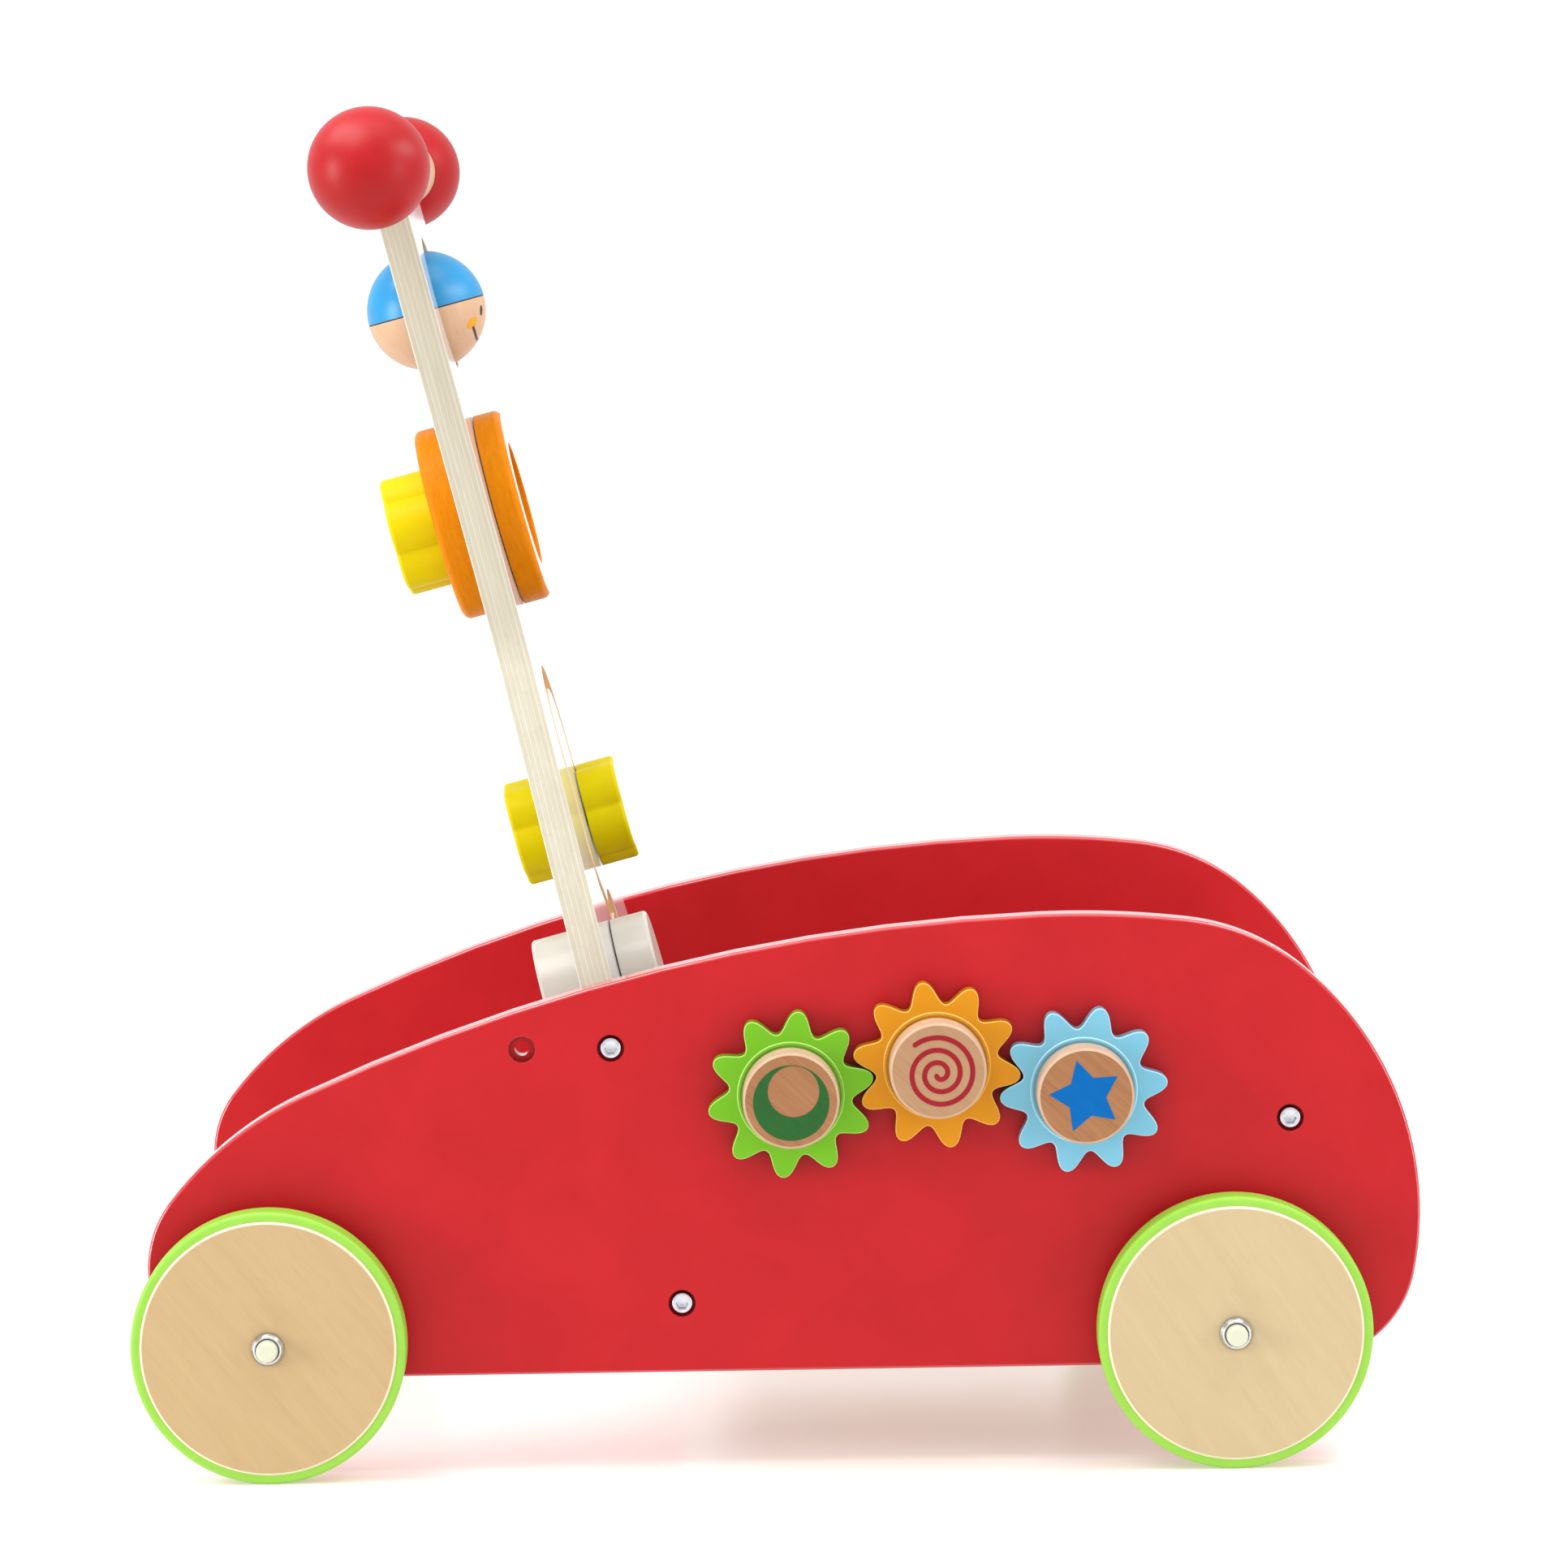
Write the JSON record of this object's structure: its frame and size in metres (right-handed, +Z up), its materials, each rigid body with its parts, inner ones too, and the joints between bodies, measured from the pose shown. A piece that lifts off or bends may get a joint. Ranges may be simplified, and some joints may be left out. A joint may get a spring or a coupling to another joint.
{
  "type": "push-along baby walker",
  "caption": "Wooden push-along walker wagon with turning gears on one side, a leaning activity board with spinner, head and sliders, and a bar handle.",
  "frame": {"origin": "on the floor, under the middle of the walker's overall length and width", "axes": "+X the way the walker rolls, +Y to its left, +Z up"},
  "size_m": [0.4702, 0.3338, 0.4977],
  "materials": {
    "red_lacquered_plywood": "satin red lacquer on birch plywood",
    "white_lacquered_plywood": "gloss white lacquer, bare plywood edges",
    "birch_plywood": "clear satin birch plywood",
    "beech": "clear satin solid wood",
    "red_wood": "satin red lacquer on turned wood",
    "orange_wood": "translucent orange stain, grain showing",
    "yellow_wood": "satin yellow lacquer",
    "white_wood": "gloss off-white lacquer",
    "blue_wood": "satin blue lacquer",
    "lime_rubber": "soft moulded ring, slight sheen",
    "green_plastic": "moulded, glossy",
    "amber_plastic": "moulded, glossy",
    "sky_plastic": "moulded, glossy",
    "cream_plastic": "moulded, satin",
    "plated_steel": "bright zinc plate"
  },
  "bodies": {
    "walker": {"right_side_panel": "red_lacquered_plywood", "left_side_panel": "red_lacquered_plywood", "floor_panel": "birch_plywood", "front_wall": "white_lacquered_plywood", "handle_board": "white_lacquered_plywood", "handle_bar": "beech", "right_handle_ball": "red_wood", "left_handle_ball": "red_wood", "head_spindle": "plated_steel", "rear_axle": "plated_steel", "front_axle": "plated_steel", "gear_green_post": "plated_steel", "gear_orange_post": "plated_steel", "gear_blue_post": "plated_steel", "right_board_upper_bolt": "plated_steel", "right_board_lower_bolt": "plated_steel", "right_wall_upper_bolt": "plated_steel", "right_wall_lower_bolt": "plated_steel", "left_board_upper_bolt": "plated_steel", "left_board_lower_bolt": "plated_steel", "left_wall_upper_bolt": "plated_steel", "left_wall_lower_bolt": "plated_steel", "rear_right_wheel_spacer": "cream_plastic", "rear_right_cup_washer": "plated_steel", "rear_right_axle_cap": "cream_plastic", "rear_left_wheel_spacer": "cream_plastic", "rear_left_cup_washer": "plated_steel", "rear_left_axle_cap": "cream_plastic", "front_right_wheel_spacer": "cream_plastic", "front_right_cup_washer": "plated_steel", "front_right_axle_cap": "cream_plastic", "front_left_wheel_spacer": "cream_plastic", "front_left_cup_washer": "plated_steel", "front_left_axle_cap": "cream_plastic"},
    "rear_right_wheel": {"rear_right_wheel_disc": "birch_plywood", "rear_right_tyre": "lime_rubber"},
    "rear_left_wheel": {"rear_left_wheel_disc": "birch_plywood", "rear_left_tyre": "lime_rubber"},
    "front_right_wheel": {"front_right_wheel_disc": "birch_plywood", "front_right_tyre": "lime_rubber"},
    "front_left_wheel": {"front_left_wheel_disc": "birch_plywood", "front_left_tyre": "lime_rubber"},
    "green_gear": {"gear_green": "green_plastic", "gear_green_button": "beech"},
    "orange_gear": {"gear_orange": "amber_plastic", "gear_orange_button": "beech"},
    "blue_gear": {"gear_blue": "sky_plastic", "gear_blue_button": "beech"},
    "spinner": {"spinner_front_ring": "orange_wood", "spinner_rear_disc": "orange_wood", "spinner_axle": "plated_steel", "flower_knob": "yellow_wood"},
    "head": {"head_cap": "blue_wood", "head_face": "beech"},
    "flower_slider": {"flower_slider_front": "yellow_wood", "flower_slider_rear": "yellow_wood", "flower_slider_pin": "beech"},
    "round_slider": {"round_slider_front": "white_wood", "round_slider_rear": "white_wood", "round_slider_pin": "beech"}
  },
  "joints": [
    {"name": "rear_right_wheel_spin", "type": "hinge", "parent": "walker", "child": "rear_right_wheel", "pos_m": [-0.1851, -0.1527, 0.05], "axis": [0, 1, 0], "continuous": true},
    {"name": "rear_left_wheel_spin", "type": "hinge", "parent": "walker", "child": "rear_left_wheel", "pos_m": [-0.1851, 0.1527, 0.05], "axis": [0, 1, 0], "continuous": true},
    {"name": "front_right_wheel_spin", "type": "hinge", "parent": "walker", "child": "front_right_wheel", "pos_m": [0.1659, -0.1527, 0.05], "axis": [0, 1, 0], "continuous": true},
    {"name": "front_left_wheel_spin", "type": "hinge", "parent": "walker", "child": "front_left_wheel", "pos_m": [0.1659, 0.1527, 0.05], "axis": [0, 1, 0], "continuous": true},
    {"name": "orange_gear_spin", "type": "hinge", "parent": "walker", "child": "orange_gear", "pos_m": [0.059, -0.1445, 0.1482], "axis": [0, -1, 0], "continuous": true},
    {"name": "green_gear_spin", "type": "hinge", "parent": "walker", "child": "green_gear", "pos_m": [0.0058, -0.1445, 0.1382], "axis": [0, -1, 0], "continuous": true},
    {"name": "blue_gear_spin", "type": "hinge", "parent": "walker", "child": "blue_gear", "pos_m": [0.1122, -0.1445, 0.1382], "axis": [0, -1, 0], "continuous": true},
    {"name": "spinner_spin", "type": "hinge", "parent": "walker", "child": "spinner", "pos_m": [-0.10817, 0, 0.34331], "axis": [0.9681, 0, 0.2504], "continuous": true},
    {"name": "head_spin", "type": "hinge", "parent": "walker", "child": "head", "pos_m": [-0.12846, 0, 0.42173], "axis": [-0.2504, 0, 0.9681], "continuous": true},
    {"name": "flower_slide", "type": "slide", "parent": "walker", "child": "flower_slider", "axis": [-0.2504, 0, 0.9681], "range_m": [0, 0.031]},
    {"name": "round_slide", "type": "slide", "parent": "walker", "child": "round_slider", "axis": [-0.2504, 0, 0.9681], "range_m": [-0.038, 0.005]}
  ],
  "couplings": [
    {"joint": "green_gear_spin", "follows": "orange_gear_spin", "ratio": -1},
    {"joint": "blue_gear_spin", "follows": "orange_gear_spin", "ratio": -1}
  ]
}
